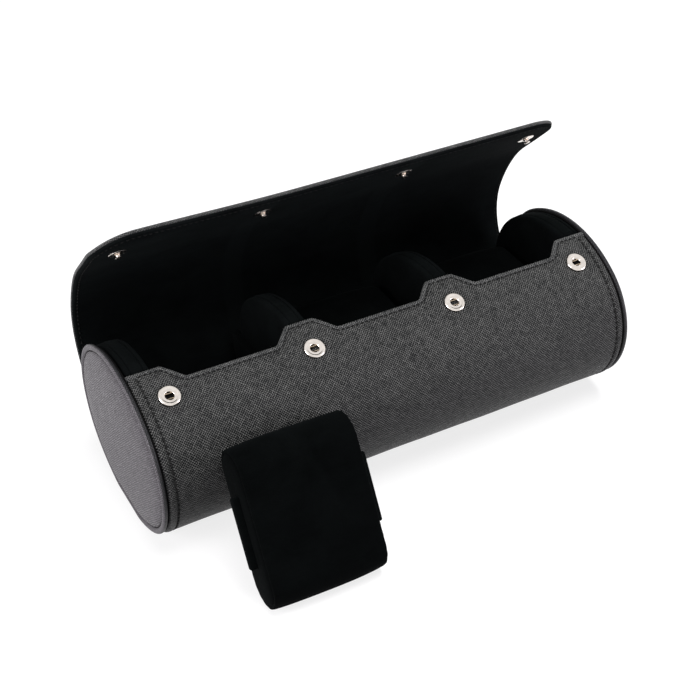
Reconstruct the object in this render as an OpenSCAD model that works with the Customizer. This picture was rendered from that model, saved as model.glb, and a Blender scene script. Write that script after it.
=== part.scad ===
// Three-bay travel case for wrist watches: an oval leather tube lying on its side,
// with a flap lid, two padded ends, suede fittings and three lift-out cushions.
// Millimetres. X runs along the tube, -Y is the front, +Z is up.
// Origin: middle of the flat the case stands on.

/* [Which piece] */
// the piece that is drawn, or all of them

/* [Tube] */
// front-to-back width of the oval tube
tube_w = 100; // [80:1:130]
// height of the full oval, before the flat is taken off
tube_h = 82; // [66:1:110]
// how much smaller than half the height the radius of the oval's front and back arcs is
arch = 4; // [2:0.1:8]
// depth taken off the underside, so that the case doesn't roll
flat_depth = 1.4; // [0.5:0.1:3]
// length of the leather tube between the end caps
tube_len = 239.4; // [180:0.1:300]
// board and leather of the tube wall
wrap_t = 2.3; // [1.5:0.1:4]
// suede lining
lining_t = 0.8; // [0.5:0.1:1.5]
// gap left between glued layers and between fittings
layer_gap = 0.3; // [0.2:0.05:0.6]

/* [Front edge and snaps] */
// front edge of the wall between the tabs, measured forward of the centre line
edge_y = 17.6; // [10:0.1:30]
// top of the tabs, measured forward of the centre line
tab_y = 8.6; // [0:0.1:20]
// half width of a tab at its foot
tab_foot = 15.2; // [8:0.1:20]
// half width of a tab at its top
tab_top = 7; // [3:0.1:12]
// how far inward of the dividers the inner tabs and snaps are
snap_in_set = 1.1; // [0:0.1:5]
// distance of the outer snaps from the tube's ends
snap_end_set = 13.8; // [10:0.1:25]
// length of the outer tabs' tops, from the tube's ends
end_tab_len = 16.2; // [14:0.1:30]
// direction the snaps face, degrees forward of straight up
snap_a = 23.9; // [15:0.1:40]
// radius of a snap socket
socket_r = 5; // [4:0.1:7]
// radius of a snap stud's ball
stud_r = 1.7; // [1.2:0.05:2.5]
// radius of the flange that holds a stud to the lining
stud_flange_r = 4.2; // [3:0.1:6]
// radius of the cap that holds a stud, hidden between the flap's leather and lining
snap_cap_r = 4; // [2:0.1:6]
// thickness of that cap
snap_cap_t = 0.8; // [0.5:0.1:1.2]
// radius of the post that joins cap and stud through the lining
snap_post_r = 1; // [0.6:0.1:1.5]
// clearance round the ball in its socket spring
stud_fit = 0.06; // [0.02:0.01:0.1]

/* [Flap] */
// lid thickness, leather and lining together
lid_t = 2.8; // [2:0.1:5]
// leather and board of the lid
lid_leather_t = 1.8; // [1.2:0.1:3]
// how much larger than the tube the lid's oval is
lid_grow = 1.9; // [0.5:0.1:4]
// how far forward the lid's oval sits
lid_fwd = 1.5; // [0:0.1:4]
// how far up the lid's oval sits
lid_up = 1.6; // [0:0.1:4]
// direction of the lid's front edge, degrees forward of straight up
lid_edge_a = 45; // [30:0.5:50]
// fold line between tube and flap, degrees backward of straight up
fold_low_a = 110; // [95:1:120]
// fold line between the flap's back and middle panels, degrees backward of straight up
fold_mid_a = 26; // [15:1:60]
// fold line between the flap's middle and front panels, degrees backward of straight up
fold_top_a = -12; // [-16:1:5]
// how far the back panel is swung open
back_open = 36; // [0:1:63]
// how far the middle panel is bent back against the back panel
mid_open = 9; // [0:1:30]
// how far the front panel is bent back against the middle panel
front_open = 23; // [0:1:50]
// radius of the rolled leather along a fold line
fold_r = 1.25; // [0.8:0.05:1.6]
// rounding of the lid's two front corners
lid_corner_r = 20; // [5:1:25]

/* [Ends and dividers] */
// length of a drum, which closes the tube inside each end
drum_len = 12.2; // [8:0.1:25]
// thickness of a divider above its ledges
divider_t = 11; // [8:0.1:16]
// width of the ledges that carry the cushion boards
ledge_w = 3.2; // [2:0.1:6]
// height of the ledges
ledge_z = 43; // [35:0.1:55]
// thickness of the ring between tube and cap
ring_t = 0.6; // [0.4:0.1:3]
// width of that ring
ring_w = 6; // [3:0.1:10]
// thickness of a cap's rim
cap_rim_t = 0.8; // [0.5:0.1:4]
// rise of the padding from its seam to its middle
cap_dome = 3; // [1:0.1:8]
// depth of the seam groove round the padding
pad_wall = 0.4; // [0.3:0.1:3]
// distance of that seam from the cap's edge
seam_inset = 3.5; // [2:0.1:8]

/* [Cushions] */
// room at each side of a pillow, between it and the ledges of its bay
pillow_side = 0.2; // [0.1:0.1:5]
// length of a pillow's section
pillow_len = 72; // [60:0.5:84]
// thickness of a pillow
pillow_t = 23.5; // [18:0.5:32]
// size of the board along the pillow's section
board_len = 32; // [20:0.5:50]
// thickness of the board
board_t = 3; // [2:0.1:5]
// height of the board above the pillow's middle
board_up = 2.5; // [0:0.1:6]
// how far back of the centre line the cushions lie in the bays
pillow_y = 4; // [0:0.1:10]
// lean of the cushion that stands in front, degrees back from upright
front_lean = 31.8; // [10:0.1:60]
// how far the cushion in front stands from the middle of its own bay
front_shift = 8.2; // [-20:0.1:20]

/* [Hidden] */
$fn = 96;
half_w = tube_w / 2;
half_h = tube_h / 2;
end_r = half_h - arch;
mid_z = half_h - flat_depth;
// centres of the oval's arcs: end arcs at +-end_c, flat arcs at +-flat_c
end_c = half_w - end_r;
flat_r = (pow(end_c, 2) + pow(half_h, 2) - pow(end_r, 2)) / (2 * (half_h - end_r));
flat_c = flat_r - half_h;
join_a = atan2(end_c, flat_c);
lining_off = -wrap_t - layer_gap;
core_off = lining_off - lining_t - layer_gap;
far = 300;
lid_mid_y = -lid_fwd;
lid_mid_z = mid_z + lid_up;

// point on the upper half of an oval, or below it, in direction a, degrees back of up
function on_oval(a, off, y, z) = abs(a) <= join_a ?
    [y + (flat_r + off) * sin(a), z - flat_c + (flat_r + off) * cos(a)] :
    [y + sign(a) * end_c + (end_r + off) * sin(a), z + (end_r + off) * cos(a)];

// fold lines lie in the middle of the flap's thickness
fold_low = on_oval(fold_low_a, lid_grow - lid_t / 2, lid_mid_y, lid_mid_z);
fold_mid = on_oval(fold_mid_a, lid_grow - lid_t / 2, lid_mid_y, lid_mid_z);
fold_top = on_oval(fold_top_a, lid_grow - lid_t / 2, lid_mid_y, lid_mid_z);
// room round the rolled leather: the panels' edges stay outside it at every angle
fold_room = fold_r + 0.5;
lid_lining_off = -lid_leather_t - layer_gap;
lid_core_gap = 1.1;
bay_end_x = tube_len / 2 - drum_len;
bay_w = (2 * bay_end_x - 2 * divider_t) / 3;
divider_x = (bay_w + divider_t) / 2;
bay_pitch = bay_w + divider_t;
drum_end_x = tube_len / 2 - layer_gap;
glue_gap = 0.2;
ring_x = tube_len / 2 + glue_gap;
cap_x = ring_x + ring_t + glue_gap;

pillow_w = bay_w - 2 * ledge_w - 2 * pillow_side;
board_gap = 0.3;
board_w = bay_w - 2 * board_gap;
board_z = ledge_z + 0.1 + board_t / 2;
pillow_z = board_z - board_up;
snap_in_x = divider_x - snap_in_set;
snap_out_x = tube_len / 2 - snap_end_set;
snap_xs = [-snap_out_x, -snap_in_x, snap_in_x, snap_out_x];
socket_up = 0.5;
socket_t = 1.3;
spring_r = stud_r + stud_fit;
stud_flange_t = 0.5;
post_room = 0.4;

// ---------- sections, drawn in the plane across the tube ----------

// oval grown by off, with its middle at (y, z)
module oval(off = 0, y = 0, z = mid_z) {
    join_y = end_c + (end_r + off) * sin(join_a);
    translate([y, z]) {
        for (s = [-1, 1]) translate([s * end_c, 0]) circle(r = end_r + off);
        intersection() {
            translate([0, -flat_c]) circle(r = flat_r + off);
            translate([0, flat_c]) circle(r = flat_r + off);
            square([2 * join_y, 2 * far], center = true);
        }
    }
}

// oval of the tube with the flat underneath
module tube_section(off = 0) {
    intersection() {
        oval(off);
        translate([-far, -off]) square([2 * far, far]);
    }
}

module lid_oval(off = 0) oval(lid_grow + off, lid_mid_y, lid_mid_z);

// part of the plane between two directions from the point (y, z), in degrees back of up
module sector(y, z, from, to) {
    steps = 4;
    translate([y, z]) polygon(concat([[0, 0]],
        [for (i = [0:steps]) let (a = from + (to - from) * i / steps) [far * sin(a), far * cos(a)]]));
}

// what the flap covers from one direction to another when shut, in degrees back of up
module flap_area(from, to) {
    arcs = [[-180, -join_a, lid_mid_y - end_c, lid_mid_z], [-join_a, join_a, lid_mid_y, lid_mid_z - flat_c],
        [join_a, 180, lid_mid_y + end_c, lid_mid_z]];
    difference() {
        // neighbouring sectors overlap a little, so that they join into one
        for (arc = arcs) if (min(to, arc[1]) > max(from, arc[0]))
            sector(arc[2], arc[3], max(from, arc[0] - 0.1), min(to, arc[1] + 0.1));
        for (p = [fold_low, fold_mid, fold_top]) translate(p) circle(r = fold_room);
    }
}
module back_panel_area() flap_area(fold_mid_a, fold_low_a);
module mid_panel_area() flap_area(fold_top_a, fold_mid_a);
module front_panel_area() flap_area(-lid_edge_a, fold_top_a);

// rolled leather along a fold line, and the tongue that ties it to its panel
module fold_roll(p, a) {
    translate(p) circle(r = fold_r);
    translate(p) rotate(-a) translate([0, -0.4]) square([fold_room + 0.6, 0.8]);
}

// fittings inside the tube: full below the wall, and up to the lid where the wall is cut away
module core_section() {
    tube_section(core_off);
    intersection() {
        lid_oval(-lid_t - lid_core_gap);
        translate([-tab_y + layer_gap, fold_low[1]]) square([far, far]);
    }
}

// ---------- placing ----------

// stands a section of the tube up and draws it from x0 to x1
module along_tube(x0, x1) translate([x0, 0, 0]) rotate([90, 0, 90]) linear_extrude(x1 - x0) children();

module turn_about(p, a) translate([0, p[0], p[1]]) rotate([a, 0, 0]) translate([0, -p[0], -p[1]]) children();

module opened_back() turn_about(fold_low, -back_open) children();
module opened_mid() opened_back() turn_about(fold_mid, -mid_open) children();
module opened_front() opened_mid() turn_about(fold_top, -front_open) children();

// frame of each snap: its origin on the tube's surface, +Z outward
snap_at = on_oval(-snap_a, 0, 0, mid_z);
module at_snaps() {
    for (x = snap_xs) translate([x, snap_at[0], snap_at[1]]) rotate([snap_a, 0, 0]) children();
}
// height of the lid's outer face above the tube at the snaps, and the lid's inner face
lid_out = lid_grow + lid_fwd * sin(snap_a) + lid_up * cos(snap_a);
lid_in = lid_out - lid_t;
// top of the caps, sunk into the leather from below
cap_top = lid_out - lid_leather_t + snap_cap_t;

module cushion_in_bay(n) translate([n * bay_pitch, pillow_y, pillow_z]) children();
// the front cushion stands on its end and leans back on the tube, board's side to the front
module cushion_in_front() {
    r = pillow_t / 2;
    reach = pillow_len / 2 - r;
    top_z = r + 2 * reach * cos(front_lean);
    top_y = -end_c - sqrt(pow(end_r + r + 0.4, 2) - pow(top_z - mid_z, 2));
    translate([front_shift - bay_pitch, top_y - reach * sin(front_lean), top_z - reach * cos(front_lean)])
        rotate([90 - front_lean, 0, 0]) children();
}

// ---------- tube ----------

// outline of the cut-away, seen from above: the front edge with its four tabs
module front_edge() {
    tab_x = tube_len / 2 - end_tab_len;
    foot_x = tab_x - tab_foot + tab_top;
    e = tube_len;
    polygon([[-e, far], [-e, -tab_y], [-tab_x, -tab_y], [-foot_x, -edge_y],
        [-snap_in_x - tab_foot, -edge_y], [-snap_in_x - tab_top, -tab_y],
        [-snap_in_x + tab_top, -tab_y], [-snap_in_x + tab_foot, -edge_y],
        [snap_in_x - tab_foot, -edge_y], [snap_in_x - tab_top, -tab_y],
        [snap_in_x + tab_top, -tab_y], [snap_in_x + tab_foot, -edge_y],
        [foot_x, -edge_y], [tab_x, -tab_y], [e, -tab_y], [e, far]]);
}

module wall_cut_away(inset = 0) {
    translate([0, -inset, mid_z]) linear_extrude(far) front_edge();
    translate([-far, 0, fold_low[1] - inset]) cube([2 * far, far, far]);
}

module body_wrap() color("#2b2c30") {
    difference() {
        along_tube(-tube_len / 2, tube_len / 2) difference() {
            tube_section();
            tube_section(-wrap_t);
            translate(fold_low) circle(r = fold_room);
        }
        wall_cut_away();
        at_snaps() {
            translate([0, 0, socket_up - socket_t]) cylinder(r = socket_r + 0.2, h = far / 10);
            translate([0, 0, -far / 20]) cylinder(r = spring_r + 0.8, h = far / 10);
        }
    }
    along_tube(-tube_len / 2, tube_len / 2) fold_roll(fold_low, fold_low_a);
}

module body_lining() color("#101012") difference() {
    along_tube(-bay_end_x + layer_gap, bay_end_x - layer_gap) difference() {
        tube_section(lining_off);
        tube_section(lining_off - lining_t);
    }
    wall_cut_away(fold_room);
}

// nickel socket: a raised disc with a bore, and its spring in the bore
module snap_sockets() color("#c9c6c0") at_snaps() translate([0, 0, socket_up - socket_t])
    rotate_extrude() polygon([[spring_r + 0.5, 0], [socket_r, 0], [socket_r, socket_t - 0.5],
        [socket_r - 0.6, socket_t], [socket_r - 1.4, socket_t], [spring_r + 1.1, socket_t - 0.3],
        [spring_r + 0.5, socket_t - 0.3]]);

module snap_springs() color("#6e6a62") at_snaps() translate([0, 0, socket_up - socket_t + 0.1])
    difference() {
        cylinder(r = spring_r + 0.42, h = 0.7);
        translate([0, 0, -1]) cylinder(r = spring_r, h = 3);
        translate([0, -0.5, -1]) cube([far, 1, 3]);
    }

// ---------- ends and dividers ----------

module fitting(x0, x1, ledge_left, ledge_right) {
    along_tube(x0, x1) core_section();
    along_tube(x0 - ledge_left, x1 + ledge_right) intersection() {
        core_section();
        translate([-far, 0]) square([2 * far, ledge_z]);
    }
}

module drum_left() color("#161618") fitting(-drum_end_x, -bay_end_x, 0, ledge_w);
module drum_right() color("#161618") fitting(bay_end_x, drum_end_x, ledge_w, 0);
module divider(x) fitting(x - divider_t / 2, x + divider_t / 2, ledge_w, ledge_w);
module divider_left() color("#161618") divider(-divider_x);
module divider_right() color("#161618") divider(divider_x);

// slice of a ball along +Z: radius half at its base, and rise high
module dome(half, rise, facets) {
    ball_r = (pow(half, 2) + pow(rise, 2)) / (2 * rise);
    intersection() {
        translate([0, 0, rise - ball_r]) sphere(r = ball_r, $fn = facets);
        translate([-half, -half, 0]) cube([2 * half, 2 * half, rise]);
    }
}

// cap for the right-hand end: a rim, and the padding that swells from its seam
module end_cap() {
    seam_x = cap_x + cap_rim_t;
    pad_x = seam_x + pad_wall;
    along_tube(cap_x, seam_x) tube_section(-glue_gap);
    along_tube(seam_x, pad_x) tube_section(-seam_inset);
    intersection() {
        translate([pad_x, 0, mid_z]) rotate([0, 90, 0]) dome(half_w - seam_inset, cap_dome, 360);
        along_tube(pad_x, pad_x + cap_dome) tube_section(-seam_inset);
    }
}
module cap_right() color("#34353a") end_cap();
module cap_left() color("#34353a") mirror([1, 0, 0]) end_cap();

module end_ring() along_tube(ring_x, ring_x + ring_t) difference() {
    tube_section();
    tube_section(-ring_w);
}
module cap_ring_right() color("#222327") end_ring();
module cap_ring_left() color("#222327") mirror([1, 0, 0]) end_ring();

// ---------- lid and hinge ----------

// one layer of the flap, between two offsets of the lid's oval
module flap_layer(outer, inner, inset = 0) {
    along_tube(-tube_len / 2 + inset, tube_len / 2 - inset) intersection() {
        difference() {
            lid_oval(outer);
            lid_oval(inner);
        }
        children();
    }
}

// keeps the lid inside its rounded front corners, seen from above with the lid shut
module corner_trim(inset = 0) {
    front = -on_oval(-lid_edge_a, lid_grow, lid_mid_y, lid_mid_z)[0] - inset;
    side = tube_len / 2 - inset;
    r = lid_corner_r - inset;
    translate([0, 0, mid_z]) linear_extrude(far) {
        translate([-side, -front + r]) square([2 * side, far]);
        translate([-side + r, -front - 1]) square([2 * (side - r), far]);
        for (s = [-1, 1]) translate([s * (side - r), -front + r]) circle(r = r);
    }
}

module flap_back() color("#2b2c30") opened_back() {
    flap_layer(0, -lid_leather_t) back_panel_area();
    along_tube(-tube_len / 2, tube_len / 2) fold_roll(fold_mid, fold_mid_a);
}

module flap_back_lining() color("#101012") opened_back()
    flap_layer(lid_lining_off, -lid_t, 1) back_panel_area();

module flap_mid() color("#2b2c30") opened_mid() {
    flap_layer(0, -lid_leather_t) mid_panel_area();
    along_tube(-tube_len / 2, tube_len / 2) fold_roll(fold_top, fold_top_a);
}

module flap_mid_lining() color("#101012") opened_mid()
    flap_layer(lid_lining_off, -lid_t, 1) mid_panel_area();

module front_panel(outer, inner, inset, hole_r) difference() {
    intersection() {
        flap_layer(outer, inner, inset) front_panel_area();
        corner_trim(inset);
    }
    at_snaps() cylinder(r = hole_r, h = cap_top + layer_gap / 2);
}

module flap_front() color("#2b2c30") opened_front()
    front_panel(0, -lid_leather_t, 0, snap_cap_r + layer_gap);
module flap_front_lining() color("#101012") opened_front()
    front_panel(lid_lining_off, -lid_t, 1, snap_post_r + post_room);

// stud on the inside of the lid: a flange, a neck and a ball that enters the socket
module snap_studs() color("#d2cfc8") opened_front() at_snaps() translate([0, 0, lid_in - 0.1])
    rotate([180, 0, 0]) rotate_extrude() polygon([[0, 0], [stud_flange_r - 2, 0],
        [stud_flange_r, 0.15], [stud_flange_r, stud_flange_t - 0.1], [stud_flange_r - 0.5, stud_flange_t],
        [stud_r - 0.1, stud_flange_t], [stud_r - 0.35, stud_flange_t + 0.5],
        [stud_r, stud_flange_t + 1], [stud_r, stud_flange_t + 1.5],
        [stud_r - 0.4, stud_flange_t + 2], [0, stud_flange_t + 2]]);

// cap inside the flap, with its post through the lining
module snap_caps() color("#b9b6b0") opened_front() at_snaps() {
    translate([0, 0, lid_in]) cylinder(r = snap_post_r, h = cap_top - lid_in);
    translate([0, 0, cap_top - snap_cap_t]) cylinder(r = snap_cap_r, h = snap_cap_t);
}

// ---------- cushions ----------

// the pillow lies flat, its long section across the tube, with a slot for its board
module pillow() {
    end = pillow_len / 2 - pillow_t / 2;
    difference() {
        rotate([90, 0, 90]) translate([0, 0, -pillow_w / 2]) linear_extrude(pillow_w) {
            square([2 * end, pillow_t], center = true);
            for (s = [-1, 1]) translate([s * end, 0]) circle(d = pillow_t);
        }
        translate([0, 0, board_up])
            cube([far, board_len + 2 * board_gap, board_t + 2 * board_gap], center = true);
    }
}

module board() translate([0, 0, board_up]) cube([board_w, board_len, board_t], center = true);

module front_pillow() color("#1b1c1f") cushion_in_front() pillow();
module front_board() color("#151518") cushion_in_front() board();
module mid_pillow() color("#1b1c1f") cushion_in_bay(0) pillow();
module mid_board() color("#151518") cushion_in_bay(0) board();
module right_pillow() color("#1b1c1f") cushion_in_bay(1) pillow();
module right_board() color("#151518") cushion_in_bay(1) board();

body_wrap();
body_lining();
snap_sockets();
snap_springs();
drum_left();
drum_right();
divider_left();
divider_right();
cap_left();
cap_right();
cap_ring_left();
cap_ring_right();
flap_back();
flap_back_lining();
flap_mid();
flap_mid_lining();
flap_front();
flap_front_lining();
snap_studs();
snap_caps();
front_pillow();
front_board();
mid_pillow();
mid_board();
right_pillow();
right_board();
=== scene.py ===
"""Looks of the three-bay watch travel case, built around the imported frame.

Sizes below are in millimetres and repeat part.scad's. X runs along the tube, -Y is the front, +Z is up.
The leather and its lining are drawn on a flat sheet, in x and in the distance s round the tube, and are
bent from there onto the oval tube and flap, so grain, hems and stitches follow the surface.
"""

import math

import bpy
import numpy as np
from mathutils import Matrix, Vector


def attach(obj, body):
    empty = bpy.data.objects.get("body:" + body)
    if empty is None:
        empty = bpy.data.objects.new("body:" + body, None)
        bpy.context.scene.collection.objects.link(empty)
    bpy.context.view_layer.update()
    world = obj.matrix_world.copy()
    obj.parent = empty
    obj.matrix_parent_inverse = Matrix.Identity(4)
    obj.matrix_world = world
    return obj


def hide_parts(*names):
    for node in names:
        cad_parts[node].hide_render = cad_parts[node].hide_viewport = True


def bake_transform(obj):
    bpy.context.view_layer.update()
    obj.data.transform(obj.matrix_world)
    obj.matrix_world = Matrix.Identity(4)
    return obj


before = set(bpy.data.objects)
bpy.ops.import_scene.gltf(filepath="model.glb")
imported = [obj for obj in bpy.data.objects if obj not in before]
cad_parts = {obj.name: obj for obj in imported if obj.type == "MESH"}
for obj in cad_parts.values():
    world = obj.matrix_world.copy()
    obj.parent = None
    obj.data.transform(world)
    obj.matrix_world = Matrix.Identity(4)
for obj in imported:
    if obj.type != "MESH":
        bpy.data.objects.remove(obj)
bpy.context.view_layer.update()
MM = 0.001
rng = np.random.default_rng(7)

# ---------- the case's sizes ----------
HALF_W, HALF_H, END_R, MID_Z = 50.0, 41.0, 37.0, 39.6
END_C = HALF_W - END_R
FLAT_R = (END_C**2 + HALF_H**2 - END_R**2) / (2 * (HALF_H - END_R))
FLAT_C = FLAT_R - HALF_H
JOIN = math.degrees(math.atan2(END_C, FLAT_C))
TUBE_X = 119.7
EDGE_Y, TAB_Y, TAB_FOOT, TAB_TOP = 17.6, 8.6, 15.2, 7.0
SNAP_X, SNAP_A = (-105.9, -36.57, 36.57, 105.9), 23.9
END_TAB_X = 103.5
LINING_T, LID_T = 3.4, 2.8
LID_GROW, LID_Y, LID_Z = 1.9, -1.5, 41.2
FOLDS = ((46.738, 28.374), (25.076, 76.564), (-14.105, 81.375))
OPENED = (-36.0, -9.0, -23.0)
FOLD_LOW_A, FOLD_TOP_A, LID_EDGE_A, LID_CORNER = 110.0, -12.0, -45.0, 20.0
# the seams that the ends' stitches run along: in from the tube's end, and in from the caps' outline
END_SEAM, CAP_SEAM = 4.1, 3.45
# where the caps' pads start, and how far in from the tube's outline
PAD_X, PAD_INSET = 121.35, 3.3
DIVIDER_X, DIVIDER_T, BAY_END = 37.67, 11.0, 107.5
DRUM_END, LEDGE_W, LEDGE_Z = 119.4, 3.2, 43.0
BAY_PITCH, PILLOW_Y, PILLOW_Z = 75.33, 4.0, 42.1
PILLOW_W, PILLOW_L, PILLOW_T = 57.53, 72.0, 23.5
BOARD_W, BOARD_L, BOARD_T, BOARD_UP = 63.73, 32.0, 3.0, 2.5
FRONT_X, FRONT_LEAN = -67.13, 31.8


def oval(a, off=0.0, y=0.0, z=MID_Z):
    """Points of the oval grown by off, in directions a, degrees back of up, as (y, z)."""
    a = np.asarray(a, float)
    r = np.radians(a)
    up = np.abs(a) <= JOIN
    down = np.abs(a) >= 180 - JOIN
    radius = np.where(up | down, FLAT_R, END_R) + off
    cy = np.where(up | down, 0.0, np.sign(a) * END_C)
    cz = np.where(up, -FLAT_C, np.where(down, FLAT_C, 0.0))
    return np.stack([y + cy + radius * np.sin(r), z + cz + radius * np.cos(r)], -1)


def smooth_line(p, n, passes):
    """p resampled to n even points and its corners rounded by averaging."""
    p = even(p, n)
    for _ in range(passes):
        p[1:-1] = (p[:-2] + 2 * p[1:-1] + p[2:]) / 4
    return p


def even(p, n):
    """p, a polyline, resampled to n points the same distance apart."""
    p = np.asarray(p, float)
    s = along(p)
    t = np.linspace(0, s[-1], n)
    return np.stack([np.interp(t, s, p[:, k]) for k in range(p.shape[1])], -1)


def along(p):
    """How far along the polyline p each of its points is."""
    return np.concatenate([[0], np.cumsum(np.linalg.norm(np.diff(p, axis=0), axis=1))])


def unit(v):
    """The rows of v, each made 1 long."""
    return v / np.linalg.norm(v, axis=1)[:, None]


def at_x(x, p):
    """Points p, as (y, z), at x."""
    return np.concatenate([np.broadcast_to(np.reshape(x, (-1, 1)), (len(p), 1)), p], 1)


def ease(t):
    """0 below t = 0 and 1 above t = 1, with a smooth step between."""
    t = np.clip(t, 0, 1)
    return t * t * (3 - 2 * t)


# ---------- the skin: one line round tube and shut flap, from the tube's front edge to the flap's ----------
_tube = np.concatenate([oval(np.linspace(-4, -180, 500)), oval(np.linspace(180, 117, 180))])
_tube[:, 1] = np.maximum(_tube[:, 1], 0)
_lid_a = np.linspace(105, LID_EDGE_A, 900)
_lid = oval(_lid_a, LID_GROW, LID_Y, LID_Z)
# the flap's lip, from the snaps on, is straight
_step = np.diff(_lid, axis=0)
_way = np.unwrap(np.arctan2(_step[:, 1], _step[:, 0]))
_way = _way[0] + np.cumsum(np.diff(_way, prepend=_way[0]) * (1 - ease((-20 - _lid_a[1:]) / 8)))
_step = np.linalg.norm(_step, axis=1)[:, None] * np.stack([np.cos(_way), np.sin(_way)], -1)
_lid = np.concatenate([_lid[:1], _lid[0] + np.cumsum(_step, axis=0)])
_line = smooth_line(np.concatenate([_tube, _lid]), 3400, 60)
_arc = along(_line)


def nearest(point, first=0, last=None):
    """Index of the skin's point, from the first to the last given, that is nearest to a point."""
    return first + np.argmin(np.linalg.norm(_line[first:last] - point, axis=1))


# s is counted from the lower fold; the numbers below keep each search to its own stretch of the line
_arc = _arc - _arc[nearest(oval(FOLD_LOW_A, LID_GROW, LID_Y, LID_Z), 1200)]
_tan = unit(np.gradient(_line, _arc, axis=0))
S_END = _arc[-1]
S_TOP = _arc[nearest(oval(FOLD_TOP_A, LID_GROW, LID_Y, LID_Z), 1800)]
# where each of the flap's three pieces starts, and where each one's bend starts and ends
SEAMS = (-18.0, 36.0, 80.0)
BENDS = ((-12.0, 12.0), (42.0, 78.0), (S_TOP - 19.0, S_TOP + 14.0))
# how far the shut flap's outer face is from the sockets' faces, along their axes, and the studs' place in it
_a = math.radians(SNAP_A)
LID_OUT = LID_GROW - LID_Y * math.sin(_a) + (LID_Z - MID_Z) * math.cos(_a)
STUD_S = _arc[nearest(oval(-SNAP_A) + LID_OUT * np.array([-math.sin(_a), math.cos(_a)]), 2000)]


def lay(line, tangent, x, s, h):
    """Points (x, y, z) at the places s of a line of skin, h to its outer side."""
    x, s, h = np.broadcast_arrays(*(np.asarray(v, float) for v in (x, s, h)))
    y, z = (np.interp(s, _arc, line[:, k]) for k in (0, 1))
    ty, tz = (np.interp(s, _arc, tangent[:, k]) for k in (0, 1))
    over = np.clip(s - S_END, 0, None) + np.clip(s - _arc[0], None, 0)
    n = np.hypot(ty, tz)
    ty, tz = ty / n, tz / n
    return np.stack([x, y + over * ty + h * tz, z + over * tz - h * ty], -1)


def skin(x, s, h):
    """Points at the place (x, s) of the shut case's skin, h above its outer face."""
    return lay(_line, _tan, x, s, h)


def s_at(y):
    """The place s of the tube's front edge where it is y forward of the centre line."""
    k = np.arange(0, 900)
    return np.interp(y, -_line[k, 0], _arc[k])


def turn(p, pivot, degrees):
    """p turned about the line through pivot along X, by an angle for each point."""
    c, s = np.cos(np.radians(degrees)), np.sin(np.radians(degrees))
    y, z = p[..., 1] - pivot[0], p[..., 2] - pivot[1]
    return np.stack([p[..., 0], pivot[0] + y * c - z * s, pivot[1] + y * s + z * c], -1)


def opened_line():
    """The open flap's middle line, bent smoothly over each fold, and the two ends of each bend."""
    mid = skin(0, _arc, -LID_T / 2)
    way = np.arctan2(_tan[:, 1], _tan[:, 0])
    step = np.diff(_arc)[:, None]
    weights = [ease((_arc - a) / (b - a)) for a, b in BENDS]
    tops = SEAMS[1:] + (S_END,)
    for _ in range(25):
        hinged = mid
        for k in (2, 1, 0):
            hinged = turn(hinged, FOLDS[k], OPENED[k] * weights[k])
        a = way + np.radians(sum(o * w for o, w in zip(OPENED, weights)))
        t = np.stack([0 * a, np.cos(a), np.sin(a)], -1)
        bent = mid[0] + np.concatenate([[[0, 0, 0]], np.cumsum((t[1:] + t[:-1]) / 2 * step, axis=0)])
        for w, top in zip(weights, tops):
            bent = bent + w[:, None] * (hinged - bent)[min(np.searchsorted(_arc, top), len(_arc) - 1)]
        line = hinged + (bent - hinged) * np.where(_arc < SEAMS[1], 0.75, 1.0)[:, None]
        ends = [[np.stack([np.interp(e, _arc, line[:, k]) for k in range(3)]) for e in pair]
                for pair in BENDS]
        weights = [np.where(_arc < low, 0, np.where(_arc > top, 1, share(line, *pair)))
                   for low, top, pair in zip(SEAMS, tops, ends)]
    return line[:, 1:], ends


def share(p, a, b):
    return ease((p - a) @ (b - a) / ((b - a) @ (b - a)))


_open, BEND_ENDS = opened_line()
_open_tan = unit(np.gradient(_open, _arc, axis=0))


def open_skin(x, s, h):
    """Points at the place (x, s) of the open flap's skin, h above its outer face."""
    # beyond the studs, the flap's lip curls out a little toward the left end
    from_stud = np.clip((s - STUD_S - 5) / (S_END - STUD_S - 5), 0, None)
    rise = 1.6 * ease((-25 - x) / 90) * from_stud ** 1.5
    return lay(_open, _open_tan, x, s, h + LID_T / 2 + rise)


# ---------- making meshes ----------
def make(name, verts, faces, uvs=None, material=None):
    """A mesh object from points in millimetres; uvs are one (u, v) for each point."""
    mesh = bpy.data.meshes.new(name)
    mesh.from_pydata((np.asarray(verts, float).reshape(-1, 3) * MM).tolist(), [], faces)
    if uvs is not None:
        layer = mesh.uv_layers.new(name="flat")
        corner = np.zeros(len(mesh.loops), np.int32)
        mesh.loops.foreach_get("vertex_index", corner)
        flat = np.asarray(uvs, float).reshape(-1, 2)[corner] * 0.01
        layer.data.foreach_set("uv", flat.astype(np.float32).ravel())
    mesh.polygons.foreach_set("use_smooth", [True] * len(mesh.polygons))
    mesh.update()
    mesh.set_sharp_from_angle(angle=math.radians(42))
    ob = bpy.data.objects.new(name, mesh)
    bpy.context.scene.collection.objects.link(ob)
    if material:
        mesh.materials.append(material)
    return ob


def quads(m, n, start=0, wrap_n=False, flip=False):
    """Faces of a grid of m by n points, each row closed to a ring if wrap_n."""
    out = []
    for i in range(m - 1):
        for j in range(n if wrap_n else n - 1):
            low, high, j2 = start + i * n, start + (i + 1) * n, (j + 1) % n
            f = (low + j, low + j2, high + j2, high + j)
            out.append(f[::-1] if flip else f)
    return out


def lids(m, n, start=0):
    """The two faces that close the ends of a grid of m rings of n points."""
    return [tuple(range(start, start + n))[::-1], tuple(range(start + (m - 1) * n, start + m * n))]


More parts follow.
